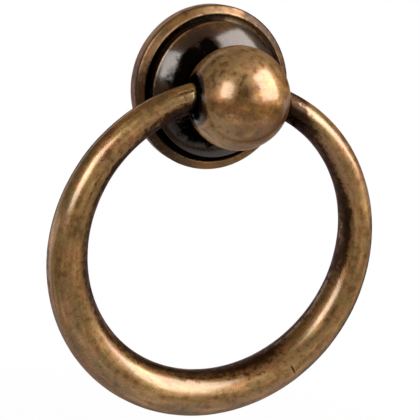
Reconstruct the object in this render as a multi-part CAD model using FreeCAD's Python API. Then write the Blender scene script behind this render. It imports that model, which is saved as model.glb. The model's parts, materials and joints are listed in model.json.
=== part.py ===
import FreeCAD, Part
import math
import os

# Ring pull handle for a cabinet or drawer front, in millimetres.
# The origin is the centre of the rosette's back face: +Z is up, +Y goes into the front it is fixed to.

# Rosette
ROSETTE_R = 12.0
RIM_WALL_H = 2.45
RIM_EDGE_R = 10.64
RIM_EDGE_H = 3.12
RIM_BACK_ROUND = 0.5
RIM_SHOULDER_ROUND = 0.5
RIM_EDGE_ROUND = 0.2
ROSETTE_FLOOR_H = 1.6
SPIGOT_R = 5.0
SPIGOT_CLEARANCE = 0.05
ROSETTE_BORE_R = SPIGOT_R + SPIGOT_CLEARANCE

# Post with its foot, neck and ball
SPIGOT_SHORT = 0.2
SPIGOT_ROUND = 0.3
FOOT_R = 9.82
FOOT_EDGE_H = 3.98
FOOT_EDGE_ROUND = 0.18
CONE_TOP_R = 6.4
CONE_TOP_H = 6.2
CONE_TOP_ROUND = 0.2
CONE_CROWN = 0.22
DISH_LIP = 0.3
DISH_DRAFT = 0.3
DISH_DEPTH = 1.2
DISH_RIM_R = CONE_TOP_R - DISH_LIP
DISH_R = DISH_RIM_R - DISH_DRAFT
DISH_H = CONE_TOP_H - DISH_DEPTH
NECK_R = 4.4
BALL_R = 7.2
PIVOT_H = 11.0
FLAT_X = 6.3

# Tapped hole for the fixing screw, at tapping size
TAP_R = 1.65
TAP_DEPTH = 8.0
DRILL_POINT_DEG = 118.0

# Ring, an eccentric hoop: thick at the bottom and thin at its ends
RING_R = 22.2
RING_RISE = 0.7
RING_DROP = RING_R - RING_RISE
TUBE_BOTTOM_R = 3.4
TUBE_TOP_R = 2.0
SHOULDER_GAP = 0.35
SHOULDER_X = FLAT_X + SHOULDER_GAP
SHOULDER_ROUND = 0.6
END_STRAIGHT = 1.5
END_OVERRUN = 1.6
ARC_STATIONS = 33

# Pivot pins on the ring's ends, in the ball's cross bore
PIN_R = 1.25
PIN_CLEARANCE = 0.05
PIN_LENGTH = 3.0
PIN_ROOT = 0.8
PIN_TIP_CHAMFER = 0.25
BORE_R = PIN_R + PIN_CLEARANCE

AXIS_X = FreeCAD.Vector(1, 0, 0)
AXIS_Y = FreeCAD.Vector(0, 1, 0)
ORIGIN = FreeCAD.Vector(0, 0, 0)
PIVOT = FreeCAD.Vector(0, -PIVOT_H, 0)


def at(radius, height):
    """A point of a turned profile: its radius from the Y axis and its height out from the back face."""
    return FreeCAD.Vector(radius, -height, 0)


def turned(corners):
    """Solid of revolution about Y from (radius, height, rounding, crown) corners, listed round the profile.
    Rounding is the radius at the corner, and crown is how far the side after it swells outwards."""
    edges = []
    starts = []
    ends = []
    count = len(corners)
    points = [at(radius, height) for radius, height, rounding, crown in corners]
    for i in range(count):
        here = points[i]
        rounding = corners[i][2]
        to_last = (points[i - 1] - here).normalize()
        to_next = (points[(i + 1) % count] - here).normalize()
        half = to_last.getAngle(to_next) / 2
        reach = rounding / math.tan(half)
        starts.append(here + to_last * reach)
        ends.append(here + to_next * reach)
        if rounding > 0:
            inward = (to_last + to_next).normalize()
            middle = here + inward * (rounding / math.sin(half) - rounding)
            edges.append(Part.Arc(starts[i], middle, ends[i]).toShape())
    for i in range(count):
        here = ends[i]
        there = starts[(i + 1) % count]
        crown = corners[i][3]
        if crown > 0:
            along = (there - here).normalize()
            outward = FreeCAD.Vector(-along.y, along.x, 0)
            edges.append(Part.Arc(here, (here + there) / 2 + outward * crown, there).toShape())
        else:
            edges.append(Part.makeLine(here, there))
    wire = Part.Wire(Part.__sortEdges__(edges))
    return Part.Face(wire).revolve(ORIGIN, AXIS_Y, 360)


def make_rosette():
    """Round backplate: raised moulded rim, recessed floor, bore for the post's spigot."""
    return turned([
        (ROSETTE_BORE_R, 0, 0, 0),
        (ROSETTE_R, 0, RIM_BACK_ROUND, 0),
        (ROSETTE_R, RIM_WALL_H, RIM_SHOULDER_ROUND, 0),
        (RIM_EDGE_R, RIM_EDGE_H, RIM_EDGE_ROUND, 0),
        (RIM_EDGE_R, ROSETTE_FLOOR_H, 0, 0),
        (ROSETTE_BORE_R, ROSETTE_FLOOR_H, 0, 0),
    ])


def make_foot():
    """Turned foot: spigot, conical collar, dished top and the neck that runs up into the ball."""
    return turned([
        (0, SPIGOT_SHORT, 0, 0),
        (SPIGOT_R, SPIGOT_SHORT, SPIGOT_ROUND, 0),
        (SPIGOT_R, ROSETTE_FLOOR_H, 0, 0),
        (FOOT_R, ROSETTE_FLOOR_H, 0, 0),
        (FOOT_R, FOOT_EDGE_H, FOOT_EDGE_ROUND, CONE_CROWN),
        (CONE_TOP_R, CONE_TOP_H, CONE_TOP_ROUND, 0),
        (DISH_RIM_R, CONE_TOP_H, 0, 0),
        (DISH_R, DISH_H, 0, 0),
        (NECK_R, DISH_H, 0, 0),
        (NECK_R, PIVOT_H, 0, 0),
        (0, PIVOT_H, 0, 0),
    ])


def make_tapped_hole():
    """Blind hole from the back, with the cone that the drill leaves."""
    mouth = at(0, SPIGOT_SHORT)
    out = FreeCAD.Vector(0, -1, 0)
    bore = Part.makeCylinder(TAP_R, TAP_DEPTH, mouth, out)
    point_h = TAP_R / math.tan(math.radians(DRILL_POINT_DEG / 2))
    point = Part.makeCone(TAP_R, 0, point_h, mouth + out * TAP_DEPTH, out)
    return bore.fuse(point)


def make_ball_post():
    """Foot and ball in one, with a spot-faced flat on each side, the cross bore and the tapped hole."""
    post = make_foot().fuse(Part.makeSphere(BALL_R, PIVOT))
    for side in (-1, 1):
        flat_at = PIVOT + AXIS_X * (side * FLAT_X)
        post = post.cut(Part.makeCylinder(BALL_R, BALL_R, flat_at, AXIS_X * side))
    bore_at = PIVOT - AXIS_X * BALL_R
    post = post.cut(Part.makeCylinder(BORE_R, 2 * BALL_R, bore_at, AXIS_X))
    return post.cut(make_tapped_hole()).removeSplitter()


def ring_section(turn, centre, radius):
    """Round section of the hoop, square to its centreline."""
    circle = Part.Wire(Part.makeCircle(radius, ORIGIN, AXIS_X))
    circle.rotate(ORIGIN, AXIS_Y, -math.degrees(turn))
    circle.translate(centre)
    return circle


def make_hoop():
    """Tapered hoop, lofted round its circle, with a short straight end that runs on past the cut at each side."""
    leave = math.asin((SHOULDER_X + END_STRAIGHT) / RING_R)
    sweep = math.pi - leave
    middle_r = (TUBE_BOTTOM_R + TUBE_TOP_R) / 2
    swell_r = (TUBE_BOTTOM_R - TUBE_TOP_R) / 2
    centre = PIVOT + FreeCAD.Vector(0, 0, -RING_DROP)
    sections = []
    for i in range(ARC_STATIONS):
        turn = sweep * (2 * i / (ARC_STATIONS - 1) - 1)
        place = centre + FreeCAD.Vector(math.sin(turn), 0, -math.cos(turn)) * RING_R
        sections.append(ring_section(turn, place, middle_r + swell_r * math.cos(turn)))
    hoop = Part.makeLoft(sections, True, False)
    leave_r = middle_r + swell_r * math.cos(sweep)
    for side in (-1, 1):
        foot = centre + FreeCAD.Vector(side * math.sin(leave), 0, math.cos(leave)) * RING_R
        inward = FreeCAD.Vector(-side * math.cos(leave), 0, math.sin(leave))
        length = END_STRAIGHT / math.cos(leave) + END_OVERRUN
        hoop = hoop.fuse(Part.makeCone(leave_r, TUBE_TOP_R, length, foot, inward))
    return hoop


def make_pin(side):
    """Turned-down pin on one end of the ring, with a chamfered tip, rooted inside the ring."""
    out = AXIS_X * side
    tip = PIVOT + out * (SHOULDER_X - PIN_LENGTH)
    shank = tip + out * PIN_TIP_CHAMFER
    lead = Part.makeCone(PIN_R - PIN_TIP_CHAMFER, PIN_R, PIN_TIP_CHAMFER, tip, out)
    return lead.fuse(Part.makeCylinder(PIN_R, PIN_LENGTH - PIN_TIP_CHAMFER + PIN_ROOT, shank, out))


def make_ring():
    """Hoop with its ends cut square to the pivot, their edges broken, and a pin on each."""
    hoop = make_hoop()
    gap_from = FreeCAD.Vector(-SHOULDER_X, -PIVOT_H - BALL_R, -BALL_R)
    gap = Part.makeBox(2 * SHOULDER_X, 2 * BALL_R, 2 * BALL_R, gap_from)
    hoop = hoop.cut(gap)
    end_edges = [edge for edge in hoop.Edges if abs(abs(edge.CenterOfMass.x) - SHOULDER_X) < PIN_CLEARANCE]
    hoop = hoop.makeFillet(SHOULDER_ROUND, end_edges)
    return hoop.fuse(make_pin(-1)).fuse(make_pin(1)).removeSplitter()


def main():
    os.makedirs("parts", exist_ok=True)
    make_rosette().exportStep("parts/rosette.step")
    make_ball_post().exportStep("parts/ball_post.step")
    make_ring().exportStep("parts/ring.step")


main()
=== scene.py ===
import json
import math

import bmesh
import bpy
from bpy.props import FloatProperty, FloatVectorProperty, PointerProperty
from mathutils import Matrix, Vector, noise


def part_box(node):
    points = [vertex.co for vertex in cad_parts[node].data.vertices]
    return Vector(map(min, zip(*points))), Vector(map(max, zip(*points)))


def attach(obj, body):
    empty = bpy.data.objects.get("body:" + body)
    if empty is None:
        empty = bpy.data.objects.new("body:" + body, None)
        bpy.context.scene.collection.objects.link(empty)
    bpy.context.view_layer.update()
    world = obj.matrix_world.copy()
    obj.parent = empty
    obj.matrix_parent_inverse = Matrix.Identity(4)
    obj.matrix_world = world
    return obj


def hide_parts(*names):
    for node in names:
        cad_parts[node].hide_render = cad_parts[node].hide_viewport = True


bl_info = {
    "name": "Ring Pull Handle",
    "version": (1, 0, 0),
    "blender": (4, 5, 0),
    "location": "3D View > Sidebar > Ring Pull",
    "description": "Rosette, ball post and swinging ring of an antique brass drawer pull, with its stage",
    "category": "Object",
}

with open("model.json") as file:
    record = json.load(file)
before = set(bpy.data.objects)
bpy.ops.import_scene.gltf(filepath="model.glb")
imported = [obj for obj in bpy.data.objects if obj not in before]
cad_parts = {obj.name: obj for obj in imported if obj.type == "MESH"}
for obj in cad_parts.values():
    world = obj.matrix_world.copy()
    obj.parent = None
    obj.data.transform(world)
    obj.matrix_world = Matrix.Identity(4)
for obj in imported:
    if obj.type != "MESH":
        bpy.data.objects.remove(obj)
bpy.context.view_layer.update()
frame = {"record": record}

MM = 0.001
ROSETTE_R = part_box("rosette")[1][0]
ROSETTE_FLOOR = 1.6 * MM
PIVOT = Vector(frame["record"]["behaviour"]["joints"][0]["pos_m"])
CAMERA_TARGET = Vector((0.0, -8.0 * MM, -18.0 * MM))
DRILL_POINT_DEG = 118.0
SHARP_DEG = 38.0

# Roundings of the turned pieces' edges
WALL_ROUND = 0.5 * MM
RIM_EDGE_ROUND = 0.2 * MM
GROOVE_ROUND = 0.15 * MM
SPIGOT_ROUND = 0.3 * MM
FOOT_ROUND = 0.12 * MM
FOOT_EDGE_ROUND = 0.18 * MM
CONE_TOP_ROUND = 0.2 * MM
LIP_ROUND = 0.08 * MM
DISH_ROUND = 0.25 * MM
NECK_ROUND = 0.2 * MM

# Tarnish on the ring's inner side, and painted shade under the ring's ends by the ball: degrees from the
# bottom of the ring, and how near the innermost line it stays
TARNISH_AND_SHADE_REACH = [
    (-162.0, 0.35), (-150.0, 0.45), (-140.0, 0.50), (-130.0, 0.58), (-110.0, 0.56),
    (-80.0, 0.64), (-60.0, 0.78), (-30.0, 0.96), (5.0, 0.93), (25.0, 0.86),
    (45.0, 0.92), (62.0, 1.0), (78.0, 0.88), (95.0, 0.78), (108.0, 0.76),
    (125.0, 0.9), (142.0, 0.84), (152.0, 0.25), (160.0, -0.1),
]

# Degrees from the bottom of the ring to the fine crack in its front
CRACK_TURN = 35.8

# Painted shade on the ball: a dark spot where it faces the camera, a painted reflection of the dark camera
# side with brown mottling, and painted shade on its right and lower right: direction from its centre, angle
# where the spot ends, angle within which it is full, and its strength
BALL_PAINTED_SHADE = [
    ((-0.4, -0.88, 0.22), 25.0, 8.0, 0.34),
    ((-0.34, -0.91, 0.23), 19.0, 3.0, 0.44),
    ((0.75, -0.6, -0.28), 36.0, 14.0, 0.4),
    ((0.3, -0.8, -0.52), 50.0, 10.0, 0.28),
]
# Painted light on the ball: lighter brass at its top and low on its left, with the same columns
BALL_PAINTED_LIGHT = [
    ((-0.36, -0.45, 0.82), 70.0, 20.0, 0.45),
    ((-0.62, -0.47, -0.62), 38.0, 14.0, 0.5),
]


def length(name, description, default):
    """A size of the pull that a user may change."""
    return FloatProperty(name=name, description=description, default=default, min=0.0,
                         unit="LENGTH", precision=5)


def share(name, description, default):
    """A value from 0 to 1."""
    return FloatProperty(name=name, description=description, default=default, min=0.0, max=1.0,
                         subtype="FACTOR")


def turn_of(name, description, degrees):
    """An angle of the camera."""
    return FloatProperty(name=name, description=description, default=math.radians(degrees), subtype="ANGLE")


def colour(name, description, default):
    """A colour of the finish."""
    return FloatVectorProperty(name=name, description=description, default=default, size=3, min=0.0, max=1.0,
                               subtype="COLOR")


class RosetteSizes(bpy.types.PropertyGroup):
    """Sizes of the round backplate."""
    outer_r: length("Radius", "Outer radius of the rosette", ROSETTE_R)
    wall_h: length("Wall Height", "Height of the square outer wall", 2.45 * MM)
    edge_r: length("Rim Edge Radius", "Radius of the rim's inner edge", 10.64 * MM)
    edge_h: length("Rim Edge Height", "Height of the rim's inner edge before it is rounded", 3.12 * MM)
    floor_h: length("Floor Height", "Height of the recessed floor", ROSETTE_FLOOR)
    bore_r: length("Bore Radius", "Radius of the hole for the post's spigot", 5.05 * MM)


class PostSizes(bpy.types.PropertyGroup):
    """Sizes of the turned post."""
    spigot_r: length("Spigot Radius", "Radius of the spigot in the rosette", 5.0 * MM)
    spigot_h: length("Spigot Set Back", "How far the spigot stays short of the back face", 0.2 * MM)
    foot_r: length("Foot Radius", "Radius of the foot's edge", 9.82 * MM)
    foot_edge_h: length("Foot Edge Height", "Height of the foot's edge", 3.98 * MM)
    cone_top_r: length("Cone Top Radius", "Radius where the foot's cone ends", 6.4 * MM)
    cone_top_h: length("Cone Top Height", "Height where the foot's cone ends", 6.2 * MM)
    cone_swell: length("Cone Swell", "How far the foot's cone swells", 0.22 * MM)
    dish_h: length("Dish Height", "Height of the dish round the neck", 5.0 * MM)
    dish_lip: length("Dish Lip", "Width of the flat lip round the dish", 0.3 * MM)
    dish_draft: length("Dish Draft", "How far the dish's wall leans in", 0.3 * MM)
    neck_r: length("Neck Radius", "Radius of the neck under the ball", 4.4 * MM)
    ball_r: length("Ball Radius", "Radius of the ball", 7.2 * MM)
    flat_x: length("Pocket Distance", "Distance of each pocket's flat bottom from the middle", 6.3 * MM)
    pocket_r: length("Pocket Radius", "Radius of the pocket that each end of the ring runs in", 2.4 * MM)
    bore_r: length("Cross Bore Radius", "Radius of the bore for the ring's pins", 1.3 * MM)
    tap_r: length("Tap Radius", "Radius of the thread's crests in the fixing hole", 1.65 * MM)
    tap_root_r: length("Thread Root Radius", "Radius of the thread's roots in the fixing hole", 2.0 * MM)
    tap_pitch: length("Thread Pitch", "Pitch of the fixing thread", 0.7 * MM)
    tap_depth: length("Tap Depth", "Depth of the fixing hole", 8.0 * MM)


class RingSizes(bpy.types.PropertyGroup):
    """Sizes of the swinging ring."""
    hoop_r: length("Hoop Radius", "Radius of the hoop's centreline", 22.2 * MM)
    hoop_rise: length("Hoop Rise", "How far the top of the hoop's circle lies above the pivot", 0.7 * MM)
    bottom_r: length("Bottom Thickness", "Radius of the round section at the bottom", 3.4 * MM)
    top_r: length("Top Thickness", "Radius of the round section at the top", 2.0 * MM)
    shoulder_x: length("Shoulder Distance", "Distance of each end face from the middle", 6.65 * MM)
    shoulder_round: length("Shoulder Round", "Rounding of the edge of each end face", 0.9 * MM)
    end_straight: length("Straight End", "How far out from its face each end runs straight", 1.5 * MM)
    end_overrun: length("End Overrun", "How far the straight end tapers on past its face", 1.6 * MM)
    seam_ridge: length("Seam Ridge", "Height of the casting seam's ridge", 0.11 * MM)
    seam_groove: length("Seam Groove", "Depth of the groove beside the casting seam", 0.09 * MM)
    pin_r: length("Pin Radius", "Radius of the pivot pins", 1.25 * MM)
    pin_length: length("Pin Length", "Length of the pivot pins", 3.0 * MM)
    pin_chamfer: length("Pin Chamfer", "Chamfer on the tip of each pin", 0.25 * MM)


class BrassFinish(bpy.types.PropertyGroup):
    """Colours of the antique finish."""
    brown: colour("Worn Brown", "Main tone of the worn brass", (0.34, 0.158, 0.040))
    olive: colour("Olive Tarnish", "Greenish tone in the mottling", (0.22, 0.132, 0.028))
    amber: colour("Amber", "Reddish tone in the mottling", (0.36, 0.132, 0.040))
    # The rubbed gold also paints highlights and lit places on the ball, the rosette's rim edge and the foot's
    # edge
    gold: colour("Rubbed Gold", "Bright brass on rubbed edges and high places", (0.70, 0.445, 0.20))
    stain: colour("Brown Stain", "Dark brown where the finish turns to patina", (0.070, 0.028, 0.008))
    patina: colour("Dark Patina", "Glossy dark brown left in sheltered places", (0.030, 0.012, 0.004))
    # The black recess tone also paints shade under the ball, round its neck and by its pockets
    soot_and_shade: colour("Black Recess", "Dull black in the deepest recesses", (0.003, 0.002, 0.0015))


class StageSettings(bpy.types.PropertyGroup):
    """Camera, lamps and background."""
    azimuth: turn_of("Azimuth", "Camera's turn round the pull", -24.581)
    elevation: turn_of("Elevation", "Camera's height as an angle", 13.5097)
    roll: turn_of("Roll", "Camera's lean", 6.8161)
    distance: length("Distance", "Camera's distance from the pull", 139.4203 * MM)
    slide: length("Slide", "How far the camera stands to the left of its target", 0.6122 * MM)
    lift: length("Lift", "How far the camera stands above its target", 1.2748 * MM)
    focal: FloatProperty(name="Focal Length", description="Camera's focal length in millimetres",
                         default=82.891)
    paper: colour("Background", "Colour of the floor and of what lies behind", (1.0, 1.0, 1.0))
    fill: share("Table Fill", "Level of the soft light from the front and from below", 0.45)
    top_fill: share("Ceiling Fill", "Level of the soft light from above", 0.12)
    softbox: FloatProperty(name="Softbox Level", description="Brightness of the two softboxes",
                           default=5.4, min=0.0)
    softbox_away: length("Softbox Distance", "Distance of the softboxes from the ball", 450.0 * MM)
    floor_z: FloatProperty(name="Floor Height", description="Height of the floor", default=-0.3,
                           unit="LENGTH")


def eased(low, high, value):
    """0 below low, 1 above high, and smooth between."""
    t = min(max((value - low) / (high - low), 0.0), 1.0)
    return t * t * (3.0 - 2.0 * t)


def near(value, centre, far, close):
    """1 within close of a centre, 0 beyond far from it, and smooth between."""
    return eased(far, close, abs(value - centre))


def eased_corner(start, corner, end, t):
    """A point on the round curve that leaves start, bends at the corner and reaches end."""
    return start * (1 - t) ** 2 + corner * 2 * t * (1 - t) + end * t ** 2


def strongest(spots, aim):
    """The strongest of some soft spots at a direction from the ball's centre."""
    return max(full * eased(far, close, math.degrees(aim.angle(Vector(way))))
               for way, far, close, full in spots)


def circle(segments):
    """Angles round a circle."""
    return [2 * math.pi * k / segments for k in range(segments)]


def profile_line(corners, step, closed):
    """Points of a profile from (radius, height, rounding, swell) corners, its sides cut into short steps."""
    count = len(corners)
    spots = [Vector(corner[:2]) for corner in corners]
    bends = []
    for i, here in enumerate(spots):
        rounding = corners[i][2]
        if rounding == 0.0:
            bends.append([here])
            continue
        to_last = (spots[i - 1] - here).normalized()
        to_next = (spots[(i + 1) % count] - here).normalized()
        half = to_last.angle(to_next) / 2
        middle = here + (to_last + to_next).normalized() * (rounding / math.sin(half))
        start = here + to_last * (rounding / math.tan(half)) - middle
        end = here + to_next * (rounding / math.tan(half)) - middle
        begin = math.atan2(start.y, start.x)
        swing = (math.atan2(end.y, end.x) - begin + math.pi) % (2 * math.pi) - math.pi
        cuts = max(4, math.ceil(abs(swing) * rounding / step))
        angles = [begin + swing * k / cuts for k in range(cuts + 1)]
        bends.append([middle + Vector((math.cos(a), math.sin(a))) * rounding for a in angles])
    line = []
    for i in range(count):
        line.extend(bends[i])
        if i == count - 1 and not closed:
            break
        here = bends[i][-1]
        side = bends[(i + 1) % count][0] - here
        cuts = max(1, math.ceil(side.length / step))
        outward = Vector((side.y, -side.x)).normalized()
        for k in range(1, cuts):
            t = k / cuts
            line.append(here + side * t + outward * (corners[i][3] * 4 * t * (1 - t)))
    return line


def skin(bm, loops, closed):
    """Quads between one loop of points and the next; a loop of one point closes an end."""
    rows = [[bm.verts.new(point) for point in loop] for loop in loops]
    pairs = list(zip(rows, rows[1:]))
    if closed:
        pairs.append((rows[-1], rows[0]))
    for here, there in pairs:
        around = max(len(here), len(there))
        for k in range(around):
            corners = [here[k % len(here)], here[(k + 1) % len(here)],
                       there[(k + 1) % len(there)], there[k % len(there)]]
            bm.faces.new(list(dict.fromkeys(corners)))
    bmesh.ops.recalc_face_normals(bm, faces=bm.faces)


def turned_about_y(line, segments):
    """Loops of a profile turned about the screw's axis; height runs out from the back face."""
    loops = []
    for radius, height in line:
        angles = circle(segments) if radius > 0.0 else [0.0]
        loops.append([Vector((radius * math.cos(a), -height, radius * math.sin(a))) for a in angles])
    return loops


def turned_about_pivot(line, segments):
    """Loops of a profile turned about the ring's pivot; the second value is the place along X."""
    angles = circle(segments)
    return [[PIVOT + Vector((x, radius * math.cos(a), radius * math.sin(a))) for a in angles]
            for radius, x in line]


def turned_lay(radius, height, angle):
    """Place along the marks of turning, which run round the screw's axis."""
    return Vector(((radius + height) / MM, 2.0 * math.cos(angle), 2.0 * math.sin(angle)))


def solid(name, loops, closed=False):
    """A scene object with the skin of these loops."""
    bm = bmesh.new()
    skin(bm, loops, closed)
    mesh = bpy.data.meshes.new(name)
    bm.to_mesh(mesh)
    bm.free()
    piece = bpy.data.objects.new(name, mesh)
    bpy.context.scene.collection.objects.link(piece)
    return piece


def joined(piece, tool, operation):
    """Joins a tool shape to a piece, or cuts it away, and removes the tool."""
    step = piece.modifiers.new("Fit", "BOOLEAN")
    step.operation = operation
    step.solver = "EXACT"
    step.object = tool
    shaped = piece.evaluated_get(bpy.context.evaluated_depsgraph_get())
    mesh = bpy.data.meshes.new_from_object(shaped)
    piece.modifiers.clear()
    old = piece.data
    piece.data = mesh
    bpy.data.meshes.remove(old)
    blank = tool.data
    bpy.data.objects.remove(tool)
    bpy.data.meshes.remove(blank)
    if not mesh.polygons:
        raise RuntimeError("The shape of " + piece.name + " came out empty")


def hand_worked(mesh, depth, wave):
    """Sinks the skin a little here and there, as casting and polishing by hand leave it."""
    normals = [Vector(item.vector) for item in mesh.vertex_normals]
    for vertex, normal in zip(mesh.vertices, normals):
        broad = noise.noise(vertex.co / wave)
        small = noise.noise(vertex.co / (wave * 0.31) + Vector((7.0, 3.0, 5.0)))
        sink = 0.5 + 0.36 * broad + 0.2 * small
        vertex.co -= normal * (depth * min(max(sink, 0.0), 1.0))


def set_tones(mesh, tones):
    """Stores how dark each point is, from tarnish and from painted shade, how bright, from wear and from
    painted light, and its place along the polishing marks.
    """
    tarnish_and_shade = mesh.attributes.new("tarnish_and_shade", "FLOAT", "POINT")
    rubbed_and_lit = mesh.attributes.new("rubbed_and_lit", "FLOAT", "POINT")
    lay = mesh.attributes.new("lay", "FLOAT_VECTOR", "POINT")
    for i, (shelter_and_shade, wear_and_light, place) in enumerate(tones):
        tarnish_and_shade.data[i].value = shelter_and_shade
        rubbed_and_lit.data[i].value = wear_and_light
        lay.data[i].vector = place


def placed(piece, body, node_name, material):
    """Gives a piece its finish and puts it in the place of its plain solid."""
    mesh = piece.data
    mesh.materials.clear()
    mesh.materials.append(material)
    mesh.polygons.foreach_set("use_smooth", [True] * len(mesh.polygons))
    mesh.set_sharp_from_angle(angle=math.radians(SHARP_DEG))
    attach(piece, body)
    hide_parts(node_name)


class NodeMaker:
    """Short ways to add nodes to a finish or to the background."""

    def __init__(self, tree):
        self.tree = tree

    def add(self, kind):
        return self.tree.nodes.new(kind)

    def feed(self, socket, value):
        if isinstance(value, bpy.types.NodeSocket):
            self.tree.links.new(value, socket)
        else:
            socket.default_value = value

    def stored(self, name, output="Fac"):
        made = self.add("ShaderNodeAttribute")
        made.attribute_name = name
        return made.outputs[output]

    def grain(self, place, scale, detail, roughness, distortion=0.0):
        made = self.add("ShaderNodeTexNoise")
        self.feed(made.inputs["Vector"], place)
        made.inputs["Scale"].default_value = scale
        made.inputs["Detail"].default_value = detail
        made.inputs["Roughness"].default_value = roughness
        made.inputs["Distortion"].default_value = distortion
        return made.outputs["Fac"]

    def maths(self, operation, first, second):
        made = self.add("ShaderNodeMath")
        made.operation = operation
        self.feed(made.inputs[0], first)
        self.feed(made.inputs[1], second)
        return made.outputs[0]

    def times(self, first, second):
        return self.maths("MULTIPLY", first, second)

    def plus(self, first, second):
        return self.maths("ADD", first, second)

    def centred(self, grain):
        return self.maths("SUBTRACT", grain, 0.5)

    def vectors(self, operation, first, second=None):
        made = self.add("ShaderNodeVectorMath")
        made.operation = operation
        self.feed(made.inputs[0], first)
        if second is not None:
            self.feed(made.inputs[1], second)
        return made.outputs["Value"]

    def spread(self, value, low, high, to_low=0.0, to_high=1.0, smooth=True):
        made = self.add("ShaderNodeMapRange")
        made.interpolation_type = "SMOOTHSTEP" if smooth else "LINEAR"
        self.feed(made.inputs["Value"], value)
        made.inputs["From Min"].default_value = low
        made.inputs["From Max"].default_value = high
        self.feed(made.inputs["To Min"], to_low)
        self.feed(made.inputs["To Max"], to_high)
        return made.outputs["Result"]

    def tint(self, share_of, first, second, blend="MIX"):
        made = self.add("ShaderNodeMix")
        made.data_type = "RGBA"
        made.blend_type = blend
        self.feed(made.inputs[0], share_of)
        self.feed(made.inputs[6], first)
        self.feed(made.inputs[7], second)
        return made.outputs[2]

    def between(self, share_of, first, second):
        made = self.add("ShaderNodeMix")
        made.data_type = "FLOAT"
        self.feed(made.inputs[0], share_of)
        self.feed(made.inputs[2], first)
        self.feed(made.inputs[3], second)
        return made.outputs[0]

    def split(self, place):
        made = self.add("ShaderNodeSeparateXYZ")
        self.feed(made.inputs[0], place)
        return made.outputs


def antique_brass(name, finish, ragged, polish, greening, lacquered, haze):
    """Worn brown brass with mottling, specks and streaks, dark stains and black recesses; the same dark tones
    also paint shade, and the rubbed gold paints highlights and lit places.
    Ragged is how uneven the stains' edges are, polish how glossy the stains are, greening how olive
    the brass is, lacquered how much of the lacquer is left and haze how dull that lacquer is."""
    material = bpy.data.materials.new(name)
    material.use_nodes = True
    made = NodeMaker(material.node_tree)
    shader = made.tree.nodes["Principled BSDF"].inputs
    to_mm = made.add("ShaderNodeVectorMath")
    to_mm.operation = "SCALE"
    to_mm.inputs["Scale"].default_value = 1.0 / MM
    made.feed(to_mm.inputs[0], made.add("ShaderNodeTexCoord").outputs["Object"])
    spot = to_mm.outputs[0]
    tarnish_and_shade = made.stored("tarnish_and_shade")
    rubbed_and_lit = made.stored("rubbed_and_lit")
    tones = (finish.brown, finish.olive, finish.amber, finish.gold, finish.stain, finish.patina, finish.soot_and_shade)
    brown, olive, amber, gold, stain, patina, soot_and_shade = [(*tone, 1.0) for tone in tones]

    cloud = made.grain(spot, 0.34, 5.0, 0.6, 0.4)
    bloom = made.grain(spot, 0.5, 3.0, 0.5, 0.5)
    mottle = made.grain(spot, 1.0, 3.0, 0.5, 0.3)
    streak = made.grain(made.stored("lay", "Vector"), 1.0, 3.0, 0.5)
    grit = made.grain(spot, 2.4, 3.0, 0.6)
    pores = made.grain(spot, 4.2, 3.0, 0.55)

    # Worn metal
    worn = made.tint(made.spread(cloud, 0.36, 0.54), amber, brown)
    worn = made.tint(made.spread(bloom, 0.44, 0.6, 0.0, greening), worn, olive)
    worn = made.tint(made.spread(streak, 0.52, 0.72, 0.0, 0.25), worn, gold)
    drawn = made.plus(made.times(streak, 1.5), made.times(mottle, 0.5))
    worn = made.tint(1.0, worn, made.spread(drawn, 0.72, 1.28, 0.58, 1.42, False), "MULTIPLY")
    fine = made.plus(pores, grit)
    worn = made.tint(1.0, worn, made.spread(fine, 0.7, 1.3, 0.68, 1.32, False), "MULTIPLY")
    # Rubbed bright brass, which also paints highlights and lit places
    worn = made.tint(made.times(rubbed_and_lit, made.spread(mottle, 0.3, 0.55)), worn, gold)
    worn = made.tint(made.spread(grit, 0.64, 0.71, 0.0, 0.9), worn, stain)

    # Stains, patina and black recesses, with painted shade where the stored darkness is high
    wander = made.plus(made.centred(mottle), made.centred(streak))
    wander = made.plus(wander, made.times(made.centred(grit), 0.8))
    wander = made.times(wander, made.spread(tarnish_and_shade, 0.05, 0.35, 0.15 * ragged, ragged))
    shelter_and_shade = made.plus(tarnish_and_shade, wander)
    stained = made.spread(shelter_and_shade, 0.16, 0.56)
    dark = made.spread(shelter_and_shade, 0.4, 0.84)
    deep = made.spread(shelter_and_shade, 0.82, 1.18)
    tone = made.tint(stained, worn, stain)
    tone = made.tint(dark, tone, patina)
    tone = made.tint(deep, tone, soot_and_shade)
    made.feed(shader["Base Color"], tone)

    # Gloss and lacquer
    made.feed(shader["Metallic"], made.between(deep, made.between(dark, 0.6, 0.8 - 0.7 * polish), 1.0))
    gloss = made.spread(mottle, 0.3, 0.7, 0.3, 0.44, False)
    stain_gloss = made.spread(mottle, 0.3, 0.7, 0.4 - 0.22 * polish, 0.56 - 0.26 * polish, False)
    made.feed(shader["Roughness"], made.between(deep, made.between(dark, gloss, stain_gloss), 0.7))
    facing = made.add("ShaderNodeLayerWeight")
    facing.inputs["Blend"].default_value = 0.5
    lacquer = made.between(deep, made.between(stained, lacquered, 0.7 * polish), 0.0)
    lacquer = made.times(lacquer, made.spread(facing.outputs["Facing"], 0.45, 0.85, 1.0, 0.1))
    made.feed(shader["Coat Weight"], lacquer)
    shader["Coat Roughness"].default_value = haze
    shader["Coat IOR"].default_value = 1.8
    shader["Specular Tint"].default_value = (0.5, 0.34, 0.22, 1.0)

    # Fine relief
    bump = made.add("ShaderNodeBump")
    bump.inputs["Strength"].default_value = 0.16
    bump.inputs["Distance"].default_value = 0.08 * MM
    relief = made.plus(made.times(pores, 0.5), made.plus(mottle, made.times(streak, 0.7)))
    made.feed(bump.inputs["Height"], relief)
    made.feed(shader["Normal"], bump.outputs["Normal"])
    return material


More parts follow.
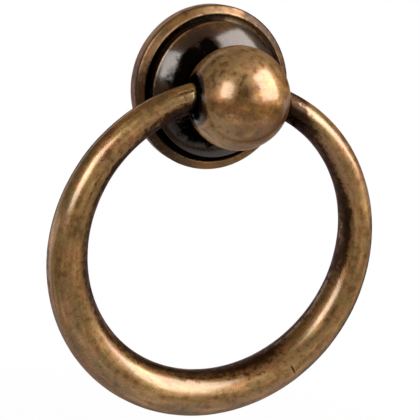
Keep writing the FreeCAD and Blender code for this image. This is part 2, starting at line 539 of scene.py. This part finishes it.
def tarnish_and_shade_reach(turn):
    """How far round the ring's inner side the dark tarnish comes, with painted shade near the ball, at an
    angle from the bottom of the ring.
    """
    for (start, low), (end, high) in zip(TARNISH_AND_SHADE_REACH, TARNISH_AND_SHADE_REACH[1:]):
        if turn <= end:
            t = min(max((turn - start) / (end - start), 0.0), 1.0)
            return low + (high - low) * t
    return TARNISH_AND_SHADE_REACH[-1][1]


class RINGPULL_OT_rosette(bpy.types.Operator):
    """Make the round backplate with its moulded rim and recessed floor"""
    bl_idname = "ringpull.rosette"
    bl_label = "Rosette"

    def execute(self, context):
        s = context.scene.ringpull_rosette
        line = profile_line([
            (s.bore_r, 0.0, GROOVE_ROUND, 0.0),
            (s.outer_r, 0.0, WALL_ROUND, 0.0),
            (s.outer_r, s.wall_h, WALL_ROUND, 0.0),
            (s.edge_r, s.edge_h, RIM_EDGE_ROUND, 0.0),
            (s.edge_r, s.floor_h, GROOVE_ROUND, 0.0),
            (s.bore_r, s.floor_h, GROOVE_ROUND, 0.0),
        ], step=0.22 * MM, closed=True)
        piece = solid("antique_rosette", turned_about_y(line, segments=224), closed=True)
        hand_worked(piece.data, depth=0.025 * MM, wave=3.2 * MM)
        set_tones(piece.data, [self.tone(s, vertex.co) for vertex in piece.data.vertices])
        finish = antique_brass("rosette_antique_brass", context.scene.ringpull_brass,
                               ragged=0.4, polish=0.25, greening=0.5, lacquered=0.5, haze=0.3)
        placed(piece, "base", "rosette", finish)
        return {"FINISHED"}

    def tone(self, s, spot):
        """Black in the groove, brown on the rim, rubbed along the rim's inner edge with a painted highlight
        there, and painted light in the groove and on the rim's inner wall at the right.
        """
        radius = math.hypot(spot.x, spot.z)
        height = -spot.y
        angle = math.atan2(spot.z, spot.x)
        turn = math.degrees(angle)
        below = s.edge_h - height
        front = eased(0.3 * MM, 1.0 * MM, height)
        # Painted light: the groove's black is held back on the right, where light reaches into the groove
        lit = 0.75 * MM * near(turn, 45.0, 75.0, 45.0)
        groove = eased(0.25 * MM, 0.0, radius - s.edge_r) * eased(0.37 * MM + lit, 0.72 * MM + lit, below)
        groove *= front * (1.1 - near(turn, 35.0, 70.0, 40.0))
        # Painted light: the rim's inner wall on the right is made bare bright brass, lighter than the shade
        # it lies in
        inside = eased(0.06 * MM, 0.0, radius - s.edge_r) * eased(0.14 * MM, 0.22 * MM, below)
        inside *= front * near(turn, 35.0, 62.0, 42.0)
        wall = 0.22 * eased(0.3 * MM, 0.05 * MM, s.outer_r - radius)
        back = 0.4 * eased(0.4 * MM, 0.1 * MM, height)
        right = 0.5 * front * near(turn, 30.0, 64.0, 38.0) * (1.0 - inside)
        low = 0.32 * front * near(turn % 360.0, 208.0, 76.0, 26.0)
        top = 0.16 * front * near(turn, 103.0, 34.0, 14.0)
        shelter_and_shade = max(0.17 * (1.0 - inside) + low + top, right, groove, wall, back)
        # Rubbed along the rim's inner edge, also a painted highlight of the left lamp on that rounded edge
        from_edge = math.hypot(radius - s.edge_r - 0.08 * MM, below - 0.17 * MM)
        wear_and_light = eased(0.4 * MM, 0.12 * MM, from_edge) * near(turn, 115.0, 95.0, 60.0)
        return shelter_and_shade, max(wear_and_light, inside), turned_lay(radius, height, angle)


class RINGPULL_OT_ball_post(bpy.types.Operator):
    """Make the turned post: spigot, dark foot, neck and the ball with its pockets and bores"""
    bl_idname = "ringpull.ball_post"
    bl_label = "Ball Post"

    def execute(self, context):
        s = context.scene.ringpull_post
        piece = solid("antique_ball_post", self.foot(s))
        joined(piece, solid("ball", self.ball(s), closed=True), "UNION")
        joined(piece, solid("tap", self.tap(s)), "DIFFERENCE")
        hand_worked(piece.data, depth=0.03 * MM, wave=2.8 * MM)
        set_tones(piece.data, [self.tone(s, vertex.co) for vertex in piece.data.vertices])
        finish = antique_brass("post_antique_brass", context.scene.ringpull_brass,
                               ragged=0.5, polish=0.9, greening=0.1, lacquered=0.66, haze=0.15)
        placed(piece, "base", "ball_post", finish)
        return {"FINISHED"}

    def foot(self, s):
        """Foot and neck, up to inside the ball."""
        inside_ball = -PIVOT.y - 0.2 * s.ball_r
        lip_r = s.cone_top_r - s.dish_lip
        line = profile_line([
            (0.0, s.spigot_h, 0.0, 0.0),
            (s.spigot_r, s.spigot_h, SPIGOT_ROUND, 0.0),
            (s.spigot_r, ROSETTE_FLOOR, 0.0, 0.0),
            (s.foot_r, ROSETTE_FLOOR, FOOT_ROUND, 0.0),
            (s.foot_r, s.foot_edge_h, FOOT_EDGE_ROUND, s.cone_swell),
            (s.cone_top_r, s.cone_top_h, CONE_TOP_ROUND, 0.0),
            (lip_r, s.cone_top_h, LIP_ROUND, 0.0),
            (lip_r - s.dish_draft, s.dish_h, DISH_ROUND, 0.0),
            (s.neck_r, s.dish_h, NECK_ROUND, 0.0),
            (s.neck_r, inside_ball, 0.0, 0.0),
            (0.0, inside_ball, 0.0, 0.0),
        ], step=0.3 * MM, closed=False)
        return turned_about_y(line, segments=192)

    def mouth_x(self, s):
        """Distance of each pocket's mouth from the middle."""
        return math.sqrt(s.ball_r ** 2 - s.pocket_r ** 2)

    def ball(self, s):
        """Ball with a flat-bottomed pocket at each end and the bore through it."""
        mouth_x = self.mouth_x(s)
        chamfer = 0.12 * MM
        corner = 0.08 * MM
        lip_in = 0.2 * MM
        lip_out = 0.16 * MM
        half = [(s.bore_r, 0.0), (s.bore_r, s.flat_x * 0.5), (s.bore_r, s.flat_x - chamfer)]
        half.append((s.bore_r + chamfer, s.flat_x))
        half += [(s.bore_r + (s.pocket_r - s.bore_r) * t, s.flat_x) for t in (0.3, 0.6, 0.9)]
        half.append((s.pocket_r, s.flat_x + corner))
        start = math.atan2(s.pocket_r, mouth_x) + lip_out / s.ball_r
        edge_in = Vector((s.pocket_r, mouth_x - lip_in))
        edge = Vector((s.pocket_r, mouth_x))
        edge_out = Vector((math.sin(start), math.cos(start))) * s.ball_r
        half += [tuple(eased_corner(edge_in, edge, edge_out, t)) for t in (0, 0.33, 0.67)]
        cuts = 34
        swing = math.pi / 2 - start
        sphere = [start + swing * k / cuts for k in range(cuts)]
        half += [(s.ball_r * math.sin(a), s.ball_r * math.cos(a)) for a in sphere]
        line = half + [(s.ball_r, 0.0)] + [(radius, -x) for radius, x in reversed(half[1:])]
        return turned_about_pivot(line, segments=160)

    def tap(self, s):
        """Thread and drill point that are cut into the back of the spigot."""
        mouth = s.spigot_h
        rows = 120
        clear = 0.5 * MM
        flare = s.tap_root_r + 0.25 * MM
        loops = [[Vector((0.0, -mouth + clear, 0.0))]]
        for depth in (-clear, 0.0):
            loops.append(self.tap_loop(mouth + depth, lambda angle: flare))
        for k in range(1, rows + 1):
            depth = s.tap_depth * k / rows
            loops.append(self.tap_loop(mouth + depth, lambda angle: self.thread_r(s, depth, angle, flare)))
        point_h = s.tap_r / math.tan(math.radians(DRILL_POINT_DEG / 2))
        loops.append([Vector((0.0, -mouth - s.tap_depth - point_h, 0.0))])
        return loops

    def tap_loop(self, height, radius_at):
        """One turn of the thread's wall at a height."""
        angles = circle(segments=64)
        return [Vector((radius_at(a) * math.cos(a), -height, radius_at(a) * math.sin(a))) for a in angles]

    def thread_r(self, s, depth, angle, flare):
        """Radius of the thread at a depth and angle, opened at the mouth and faded at the bottom."""
        phase = (depth / s.tap_pitch - angle / (2 * math.pi)) % 1.0
        crest = 0.25
        flank = 2.6
        rise = min(max((abs(phase - 0.5) - crest) * flank, 0.0), 1.0)
        fade = eased(s.tap_depth - 0.1 * MM, s.tap_depth - 1.2 * MM, depth)
        return max(s.tap_r + (s.tap_root_r - s.tap_r) * rise * fade, flare - depth)

    def tone(self, s, spot):
        """Worn ball, dark glossy foot, black pockets, painted shade in the dish and round the neck under the
        ball, and cleaner metal in the fixing hole.
        """
        radius = math.hypot(spot.x, spot.z)
        height = -spot.y
        from_pivot = spot - PIVOT
        if from_pivot.length > s.ball_r * 0.97 and height > 7.0 * MM:
            return self.ball_tone(s, spot, from_pivot)
        angle = math.atan2(spot.z, spot.x)
        lay = turned_lay(radius, height, angle)
        at_pocket = abs(spot.x) > s.flat_x - 0.15 * MM and from_pivot.yz.length < s.pocket_r + 0.05 * MM
        if at_pocket and height > 6.5 * MM:
            return 1.3, 0.0, lay
        if radius < s.spigot_r + 0.1 * MM and height < ROSETTE_FLOOR + 0.1 * MM:
            return 0.3, 0.0, lay
        if radius < s.tap_root_r + 0.4 * MM and height < 10.0 * MM and from_pivot.length > 2.0 * MM:
            return 0.15, 0.3, lay
        if radius > s.cone_top_r - 0.25 * MM and height < s.cone_top_h + 0.1 * MM:
            return (*self.foot_tone(s, radius, height, math.degrees(angle)), lay)
        # Painted shade: black in the dish and round the neck under the ball
        return 1.1, 0.0, lay

    def ball_tone(self, s, spot, from_pivot):
        """Painted dark reflection with brown mottling where the ball faces the camera, painted shade on its
        right, low down and on its back, black by the pockets as painted shadow with tarnish, and painted
        light at the top and low on the left.
        """
        lay = Vector((0.6 * from_pivot.y / MM, 0.6 * from_pivot.z / MM, 0.35 * spot.x / MM))
        # Painted shade: black on the ball's back by the neck
        under = 0.95 * eased(8.4 * MM, 6.2 * MM, -spot.y)
        mouth_x = self.mouth_x(s)
        # Painted shadow of the ring's ends with tarnish: black round each pocket's mouth, wider below
        black_w = (0.55 + 0.9 * eased(0.5 * MM, -2.5 * MM, spot.z)) * MM
        by_pocket = 1.25 * eased(mouth_x - black_w, mouth_x - 0.05 * MM, abs(spot.x))
        shelter_and_shade = max(0.06, strongest(BALL_PAINTED_SHADE, from_pivot), under, by_pocket)
        return shelter_and_shade, strongest(BALL_PAINTED_LIGHT, from_pivot), lay

    def foot_tone(self, s, radius, height, turn):
        """Dark glossy cone, painted shade towards the ball, browner at the top, and rubbed along its edge,
        with a painted highlight on the left of the edge.
        """
        from_rim = s.foot_r - radius
        inward = from_rim / (s.foot_r - s.cone_top_r)
        wall = 0.3 * eased(s.foot_edge_h - 0.1 * MM, s.foot_edge_h - 0.5 * MM, height)
        # Painted shade: black towards the ball on the left, low down and at the top
        left_shade = 0.5 * near(turn % 360.0, 150.0, 54.0, 36.0) * eased(0.05, 0.9, inward)
        low_shade = 0.4 * near(turn % 360.0, 228.0, 56.0, 36.0) * eased(0.0, 0.9, inward)
        top_shade = 0.2 * near(turn, 132.0, 32.0, 20.0) * eased(0.1, 0.3, inward)
        brown = 0.26 * near(turn, 115.0, 60.0, 20.0) * eased(0.6, 0.15, inward)
        band = 0.08 * eased(0.1 * MM, 0.22 * MM, from_rim) * eased(0.75 * MM, 0.4 * MM, from_rim)
        band *= near(turn, 157.0, 34.0, 24.0)
        band += 0.26 * eased(0.8 * MM, 0.3 * MM, from_rim) * near(turn, 42.0, 52.0, 30.0)
        # Rubbed along the edge, stronger on the left as a painted highlight of the left lamp
        from_edge = math.hypot(from_rim - 0.06 * MM, height - s.foot_edge_h + 0.04 * MM)
        edge = eased(0.26 * MM, 0.08 * MM, from_edge) * (0.25 + 0.5 * near(turn, 157.0, 40.0, 24.0))
        shelter_and_shade = 0.75 + wall + max(left_shade, low_shade, top_shade) - brown + band
        return shelter_and_shade * (1.0 - edge) + 0.25 * edge, edge


class RINGPULL_OT_ring(bpy.types.Operator):
    """Make the tapered ring with its square-cut ends and pivot pins"""
    bl_idname = "ringpull.ring"
    bl_label = "Ring"

    def execute(self, context):
        s = context.scene.ringpull_ring
        loops, places = self.hoop(s)
        piece = solid("antique_ring", loops)
        hand_worked(piece.data, depth=0.05 * MM, wave=5.0 * MM)
        set_tones(piece.data, [self.tone(s, *place) for place in places])
        finish = antique_brass("ring_antique_brass", context.scene.ringpull_brass,
                               ragged=0.8, polish=0.1, greening=0.6, lacquered=0.8, haze=0.2)
        placed(piece, "ring", "ring", finish)
        return {"FINISHED"}

    def hoop(self, s):
        """Loops from the tip of one pin round to the tip of the other, and where each point lies:
        how far along the ring, its angle round the section, the section's radius and how near the tip."""
        around = circle(segments=80)
        centre = PIVOT - Vector((0.0, 0.0, s.hoop_r - s.hoop_rise))
        leave = math.asin((s.shoulder_x + s.end_straight) / s.hoop_r)
        sweep = math.pi - leave
        middle_r = (s.bottom_r + s.top_r) / 2
        swell_r = (s.bottom_r - s.top_r) / 2
        back = Vector((0.0, 1.0, 0.0))
        stations = 300
        turns = [sweep * (2 * i / stations - 1) for i in range(stations + 1)]
        turns += [math.radians(CRACK_TURN + step) for step in (-0.45, -0.25, 0.0, 0.25, 0.45)]
        loops = []
        places = []
        for turn in sorted(turns):
            out = Vector((math.sin(turn), 0.0, -math.cos(turn)))
            tube_r = middle_r + swell_r * math.cos(turn)
            loops.append([centre + out * (s.hoop_r + tube_r * math.cos(a)) + back * (tube_r * math.sin(a))
                          for a in around])
            places.extend((turn * s.hoop_r, a, tube_r, 0.0) for a in around)
        ends, end_places = self.end(s, centre, leave, sweep, middle_r + swell_r * math.cos(sweep), around)
        mirror = Matrix.Scale(-1.0, 3, (1.0, 0.0, 0.0))
        left = [[mirror @ point for point in loop] for loop in reversed(ends)]
        left_places = [(-along, a, tube_r, tip)
                       for row in reversed(end_places) for along, a, tube_r, tip in row]
        rows = left + loops + ends
        places = left_places + places + [place for row in end_places for place in row]
        marks = iter(places)
        for row in rows:
            middle = sum(row, Vector()) / len(row)
            for point in row:
                along, a, tube_r, tip = next(marks)
                groove, ridge = self.seam(s, along, a, tip)
                point += (point - middle).normalized() * (s.seam_ridge * ridge - s.seam_groove * groove)
        return rows, places

    def seam(self, s, along, around, tip):
        """Casting seam that runs out to the left end: a groove, and a ridge under it."""
        if tip > 0.45:
            return 0.0, 0.0
        here = eased(-151.0, -158.0, math.degrees(along / s.hoop_r))
        angle = math.degrees(around)
        return here * near(angle, 313.0, 8.0, 1.0), here * near(angle, 301.0, 8.0, 1.0)

    def end(self, s, centre, leave, sweep, leave_r, around):
        """Straight tapered end, its square face with a broken edge, and the pin."""
        out = Vector((math.sin(leave), 0.0, math.cos(leave)))
        inward = Vector((-math.cos(leave), 0.0, math.sin(leave)))
        back = Vector((0.0, 1.0, 0.0))
        foot = centre + out * s.hoop_r
        run = s.end_straight / math.cos(leave) + s.end_overrun
        taper = (s.top_r - leave_r) / run
        along = sweep * s.hoop_r

        def face_at(a):
            reach = s.end_straight + leave_r * math.cos(a) * math.sin(leave)
            return reach / (math.cos(leave) - taper * math.cos(a) * math.sin(leave))

        def on_end(a, run_to):
            tube_r = leave_r + taper * run_to
            return foot + inward * run_to + out * (tube_r * math.cos(a)) + back * (tube_r * math.sin(a))

        loops = []
        places = []

        def add(loop, run_to, tip):
            loops.append(loop)
            places.append([(along + run_to, a, leave_r, tip) for a in (around if len(loop) > 1 else [0.0])])

        cuts = 14
        for k in range(1, cuts + 1):
            loop = [on_end(a, (face_at(a) - s.shoulder_round) * k / cuts) for a in around]
            add(loop, run * k / cuts, 0.4 * k / cuts)
        lips = []
        for a in around:
            edge_in = on_end(a, face_at(a) - s.shoulder_round)
            edge = on_end(a, face_at(a))
            to_axis = Vector((0.0, PIVOT.y - edge.y, PIVOT.z - edge.z)).normalized()
            lips.append((edge_in, edge, edge + to_axis * s.shoulder_round))
        for t in (0.25, 0.5, 0.75, 1.0):
            add([eased_corner(edge_in, edge, face, t) for edge_in, edge, face in lips], run, 0.5)
        rims = [face for edge_in, edge, face in lips]
        aims = [Vector((0.0, rim.y - PIVOT.y, rim.z - PIVOT.z)).normalized() for rim in rims]
        axis = Vector((s.shoulder_x, PIVOT.y, PIVOT.z))
        for t in (0.35, 0.7, 1.0):
            add([rim.lerp(axis + aim * s.pin_r, t) for rim, aim in zip(rims, aims)], run, 1.0)
        for t in (0.25, 0.5, 0.75, 1.0):
            slide = axis - Vector(((s.pin_length - s.pin_chamfer) * t, 0.0, 0.0))
            add([slide + aim * s.pin_r for aim in aims], run, 1.0)
        pin_tip = axis - Vector((s.pin_length, 0.0, 0.0))
        for radius in (s.pin_r - s.pin_chamfer, s.pin_r * 0.4):
            add([pin_tip + aim * radius for aim in aims], run, 1.0)
        add([pin_tip], run, 1.0)
        return loops, places

    def tone(self, s, along, around, tube_r, tip):
        """Dark on the inner side and at the back, worn where fingers pull, with painted shade under the ends
        and on the end faces near the ball.
        """
        turn = math.degrees(along / s.hoop_r)
        angle = math.degrees(around)
        outward = math.cos(around)
        backward = math.sin(around)
        reach = tarnish_and_shade_reach(turn)
        # Near the ball the inner tarnish widens and deepens as painted shade under the ring's ends
        soft = 1.0 + 1.2 * eased(125.0, 150.0, abs(turn))
        inner = eased(reach - 0.5 * soft, reach + 0.25 * soft, -outward)
        inner *= 0.71 + 0.31 * eased(142.0, 155.0, abs(turn)) - 0.34 * near(turn, 58.0, 28.0, 12.0)
        behind = eased(-0.15, 0.25, backward) * (1.0 - 0.52 * eased(0.4, 0.85, backward))
        behind *= 1.0 - 0.35 * eased(0.0, -0.5, outward)
        leftward = eased(60.0, -40.0, turn)
        outer = eased(-1.0 + 0.5 * leftward, -0.72 + 0.62 * leftward, backward) * eased(0.25, 0.55, outward)
        outer *= (0.6 - 0.2 * leftward) * eased(128.0, 100.0, turn) * eased(-108.0, -80.0, turn)
        streaks = 0.17 * near(turn, 54.0, 34.0, 12.0) * near(angle, 252.0, 20.0, 4.0)
        streaks += 0.26 * near(turn, -112.0, 24.0, 8.0) * near(angle, 264.0, 10.0, 2.0)
        patch = 0.3 * near(turn, 24.0, 26.0, 8.0) * eased(0.3, 0.75, -outward)
        crack = 0.55 * near(turn, CRACK_TURN, 0.44, 0.2) * near(angle, 270.0, 18.0, 10.0)
        # Painted shade on the end faces and pins and on the right end by the ball
        face = 0.75 if tip > 0.6 else 0.5 * eased(151.0, 157.0, turn)
        groove, ridge = self.seam(s, along, around, tip)
        shelter_and_shade = max(0.06 + patch + streaks, inner, behind, outer, 0.4 * groove, crack, face)
        shelter_and_shade *= 1.0 - 0.8 * ridge
        wear_and_light = max(0.2 * eased(0.5, 1.0, -backward), ridge)
        lay = Vector((0.16 * along / MM, tube_r * outward / MM, tube_r * backward / MM))
        return shelter_and_shade, wear_and_light, lay


class RINGPULL_OT_stage(bpy.types.Operator):
    """Make the camera, the two softboxes, the white background and the floor"""
    bl_idname = "ringpull.stage"
    bl_label = "Stage"

    def execute(self, context):
        scene = context.scene
        s = scene.ringpull_stage
        scene.view_settings.view_transform = "Standard"
        self.camera(scene, s)
        self.softbox(scene, s, "left_softbox", aim=(-0.735, -0.585, 0.342), half_wide=13.0, half_high=16.0)
        self.softbox(scene, s, "right_softbox", aim=(0.65, -0.55, 0.525), half_wide=22.0, half_high=26.0)
        self.background(scene, s)
        self.floor(s)
        return {"FINISHED"}

    def camera(self, scene, s):
        """Camera at the photograph's angle."""
        back = Vector((math.sin(s.azimuth) * math.cos(s.elevation),
                       -math.cos(s.azimuth) * math.cos(s.elevation),
                       math.sin(s.elevation)))
        level = Vector((math.cos(s.azimuth), math.sin(s.azimuth), 0.0))
        upright = back.cross(level)
        right = level * math.cos(s.roll) + upright * math.sin(s.roll)
        up = upright * math.cos(s.roll) - level * math.sin(s.roll)
        place = CAMERA_TARGET + back * s.distance - right * s.slide + up * s.lift
        lens = bpy.data.cameras.new("pull_camera")
        lens.lens = s.focal
        lens.sensor_width = 36.0
        lens.clip_start = 0.005
        lens.clip_end = 100.0
        camera = bpy.data.objects.new("pull_camera", lens)
        scene.collection.objects.link(camera)
        camera.matrix_world = Matrix((right, up, back)).transposed().to_4x4()
        camera.matrix_world.translation = place
        scene.camera = camera

    def softbox(self, scene, s, name, aim, half_wide, half_high):
        """Soft rectangular lamp that points at the ball; its half angles are in degrees."""
        lamp = bpy.data.lights.new(name, "AREA")
        lamp.shape = "RECTANGLE"
        lamp.size = 2 * s.softbox_away * math.tan(math.radians(half_wide))
        lamp.size_y = 2 * s.softbox_away * math.tan(math.radians(half_high))
        lamp.energy = s.softbox * math.pi * lamp.size * lamp.size_y
        box = bpy.data.objects.new(name, lamp)
        scene.collection.objects.link(box)
        direction = Vector(aim).normalized()
        box.location = PIVOT + direction * s.softbox_away
        box.rotation_euler = direction.to_track_quat("Z", "Y").to_euler()
        box.visible_camera = False

    def shown_white(self, made, behind):
        """1 for the camera, and for what lies behind the pull as glossy and clear surfaces show it."""
        rays = made.add("ShaderNodeLightPath").outputs
        mirrored = made.maths("MAXIMUM", rays["Is Glossy Ray"], rays["Is Transmission Ray"])
        return made.maths("MAXIMUM", rays["Is Camera Ray"], made.times(mirrored, behind))

    def background(self, scene, s):
        """White behind the pull, and softer light from the camera's side."""
        world = bpy.data.worlds.new("white_studio")
        scene.world = world
        world.use_nodes = True
        made = NodeMaker(world.node_tree)
        sky = made.tree.nodes["Background"].inputs
        sky["Color"].default_value = (*s.paper, 1.0)
        where = made.add("ShaderNodeTexCoord").outputs["Generated"]
        parts = made.split(where)
        white = self.shown_white(made, made.spread(parts["Y"], 0.7, 0.95))
        ceiling = made.spread(parts["Z"], -0.1, 0.75, s.fill, s.top_fill)
        sides = made.spread(parts["Y"], -0.3, 0.5, 1.0, 0.3)
        toward = made.vectors("DOT_PRODUCT", where, (-0.405, -0.884, 0.234))
        opening = made.spread(toward, math.cos(math.radians(34.0)), math.cos(math.radians(14.0)), 1.0, 0.1)
        tent = made.times(made.times(ceiling, sides), opening)
        made.feed(sky["Strength"], made.spread(white, 0.0, 1.0, tent, 1.0, False))

    def floor(self, s):
        """Pale floor that keeps the shadow and runs out into the white."""
        loops = [[Vector((0.0, 0.0, s.floor_z))]]
        for radius in (0.2, 0.5, 1.2, 3.0, 8.0, 40.0):
            loops.append([Vector((radius * math.cos(a), radius * math.sin(a), s.floor_z))
                          for a in circle(segments=48)])
        floor = solid("pale_floor", loops)
        floor.data.materials.append(self.white_paper(s))

    def white_paper(self, s):
        """Paper that is white to the camera, and takes light and shadow near the pull."""
        paper = bpy.data.materials.new("white_paper")
        paper.use_nodes = True
        made = NodeMaker(paper.node_tree)
        made.tree.nodes.remove(made.tree.nodes["Principled BSDF"])
        lit = made.add("ShaderNodeBsdfDiffuse")
        lit.inputs["Color"].default_value = (0.6 * s.paper[0], 0.6 * s.paper[1], 0.6 * s.paper[2], 1.0)
        glow = made.add("ShaderNodeEmission")
        glow.inputs["Color"].default_value = (*s.paper, 1.0)
        glow.inputs["Strength"].default_value = 1.0
        place = made.add("ShaderNodeNewGeometry").outputs["Position"]
        white = self.shown_white(made, made.spread(made.split(place)["Y"], 0.05, 0.5, smooth=False))
        fade = made.spread(made.vectors("LENGTH", place), 0.2, 0.7, 0.93, 1.0, False)
        mix = made.add("ShaderNodeMixShader")
        made.feed(mix.inputs[0], made.times(white, fade))
        made.feed(mix.inputs[1], lit.outputs[0])
        made.feed(mix.inputs[2], glow.outputs[0])
        made.feed(made.tree.nodes["Material Output"].inputs["Surface"], mix.outputs[0])
        return paper


class RINGPULL_PT_panel(bpy.types.Panel):
    """Sizes, finish and steps of the ring pull"""
    bl_label = "Ring Pull Handle"
    bl_idname = "RINGPULL_PT_panel"
    bl_space_type = "VIEW_3D"
    bl_region_type = "UI"
    bl_category = "Ring Pull"

    def draw(self, context):
        layout = self.layout
        for name, _, operator in GROUPS:
            box = layout.box()
            group = getattr(context.scene, name)
            for key in group.bl_rna.properties.keys():
                if key not in {"name", "rna_type"}:
                    box.prop(group, key)
            if operator:
                box.operator(operator)


# Values of each step: their name in the scene, their group and the operator that uses them
GROUPS = [
    ("ringpull_rosette", RosetteSizes, "ringpull.rosette"),
    ("ringpull_post", PostSizes, "ringpull.ball_post"),
    ("ringpull_ring", RingSizes, "ringpull.ring"),
    ("ringpull_brass", BrassFinish, None),
    ("ringpull_stage", StageSettings, "ringpull.stage"),
]

WORKERS = [
    RINGPULL_OT_rosette,
    RINGPULL_OT_ball_post,
    RINGPULL_OT_ring,
    RINGPULL_OT_stage,
    RINGPULL_PT_panel,
]


def register():
    for name, group, _ in GROUPS:
        bpy.utils.register_class(group)
        setattr(bpy.types.Scene, name, PointerProperty(type=group))
    for worker in WORKERS:
        bpy.utils.register_class(worker)


def unregister():
    for worker in reversed(WORKERS):
        bpy.utils.unregister_class(worker)
    for name, group, _ in reversed(GROUPS):
        delattr(bpy.types.Scene, name)
        bpy.utils.unregister_class(group)


def main():
    register()
    bpy.ops.ringpull.rosette()
    bpy.ops.ringpull.ball_post()
    bpy.ops.ringpull.ring()
    bpy.ops.ringpull.stage()


if __name__ == "__main__":
    main()
